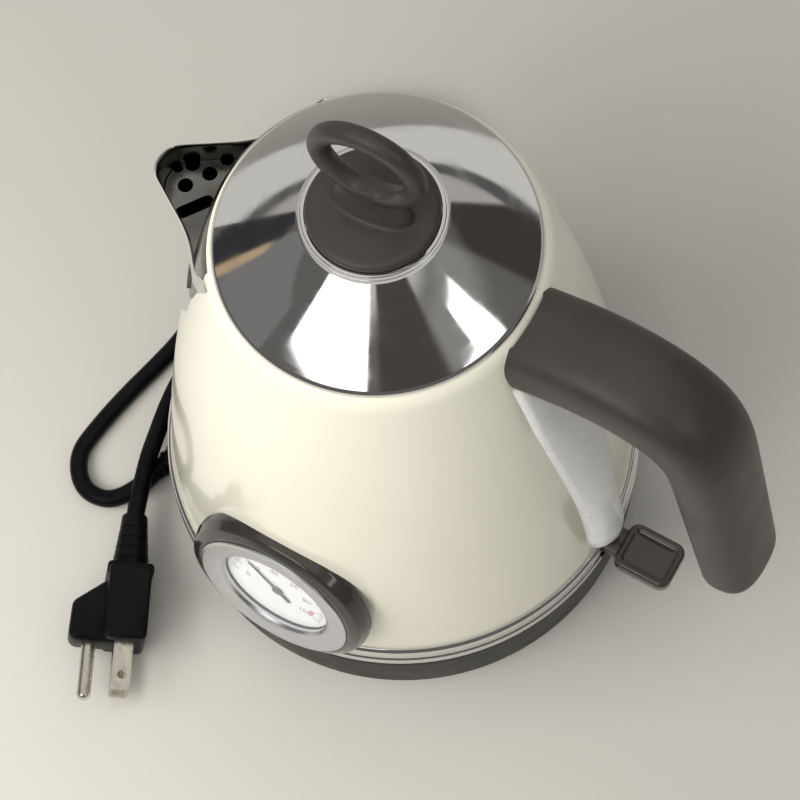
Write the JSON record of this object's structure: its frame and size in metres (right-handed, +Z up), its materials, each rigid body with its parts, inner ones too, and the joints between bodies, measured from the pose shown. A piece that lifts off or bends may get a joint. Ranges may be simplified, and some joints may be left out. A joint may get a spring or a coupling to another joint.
{
  "type": "electric kettle",
  "caption": "Electric kettle with a conical enamelled body, ring-knob lid, dial thermometer, hook handle, level window and a round power base with cord and plug.",
  "frame": {"origin": "on the kettle's axis, in the plane that the power base stands on", "axes": "+Z up along the kettle's axis, +X towards the handle, -X towards the spout, -Y the way the thermometer faces"},
  "size_m": [0.2403, 0.2579, 0.2492],
  "materials": {
    "aluminium_cast": "cast",
    "bezel_plastic": "gloss",
    "blade_metal": "nickel plated",
    "brass_contact": "bare",
    "cord_vinyl": "satin",
    "cream_enamel": "gloss",
    "dark_plastic": "satin",
    "dark_steel": "polished",
    "dial_white": "printed",
    "gauge_plastic": "translucent",
    "glass_clear": "clear",
    "handle_plastic": "fine grain, satin",
    "needle_dark": "satin",
    "pad_rubber": "matte",
    "polished_chrome": "mirror",
    "satin_chrome": "satin",
    "seal_rubber": "matte",
    "steel": "brushed",
    "white_plastic": "matte"
  },
  "bodies": {
    "power_base": {"base_upper_shell": "dark_plastic", "base_lower_cover": "dark_plastic", "base_pads": "pad_rubber", "base_screws": "steel", "base_connector": "dark_plastic", "base_contacts": "brass_contact", "base_terminal_block": "white_plastic", "cord_gland": "cord_vinyl", "cord_near": "cord_vinyl", "cord_coil": "cord_vinyl", "cord_far": "cord_vinyl", "cord_tie": "cord_vinyl", "plug_relief": "cord_vinyl", "plug_body": "cord_vinyl", "plug_blades": "blade_metal", "plug_ground_pin": "blade_metal"},
    "swivel": {"connector_shutter": "dark_plastic"},
    "kettle": {"body_shell": "cream_enamel", "spout": "polished_chrome", "spout_strainer": "dark_steel", "water_gauge": "gauge_plastic", "gauge_gasket": "seal_rubber", "trim_ring": "polished_chrome", "bottom_cover": "dark_plastic", "kettle_screws": "steel", "heating_plate": "steel", "heating_element": "aluminium_cast", "control_unit": "white_plastic", "bimetal_disc": "brass_contact", "kettle_connector": "dark_plastic", "steam_tube": "steel", "switch_pin": "steel", "switch_bracket": "dark_plastic", "handle_outer": "handle_plastic", "handle_inner": "handle_plastic", "handle_bracket": "steel", "handle_screw": "steel", "thermo_housing": "bezel_plastic", "thermo_face_ring": "satin_chrome", "thermo_dial": "dial_white", "thermo_glass": "glass_clear", "thermo_probe": "steel", "thermo_nut": "steel"},
    "lid": {"lid_cover": "polished_chrome", "lid_collar": "polished_chrome", "lid_plate": "steel", "lid_seal": "seal_rubber", "knob": "handle_plastic", "knob_screw": "steel"},
    "switch": {"switch_lever": "handle_plastic"},
    "needle": {"thermo_needle": "needle_dark"}
  },
  "joints": [
    {"name": "kettle_swivel", "type": "hinge", "parent": "power_base", "child": "swivel", "pos_m": [0, 0, 0.02], "axis": [0, 0, 1], "continuous": true},
    {"name": "kettle_lift", "type": "slide", "parent": "swivel", "child": "kettle", "axis": [0, 0, 1], "range_m": [0, 0.06]},
    {"name": "lid_lift", "type": "slide", "parent": "kettle", "child": "lid", "axis": [0, 0, 1], "range_m": [0, 0.05]},
    {"name": "switch_press", "type": "hinge", "parent": "kettle", "child": "switch", "pos_m": [0.069, 0, 0.031], "axis": [0, 1, 0], "range_deg": [0, 10]},
    {"name": "needle_turn", "type": "hinge", "parent": "kettle", "child": "needle", "pos_m": [0, -0.07545, 0.065], "axis": [0, 0.982, -0.1891], "range_deg": [-40, 172], "stiffness_Nm_per_rad": 0.0005}
  ]
}
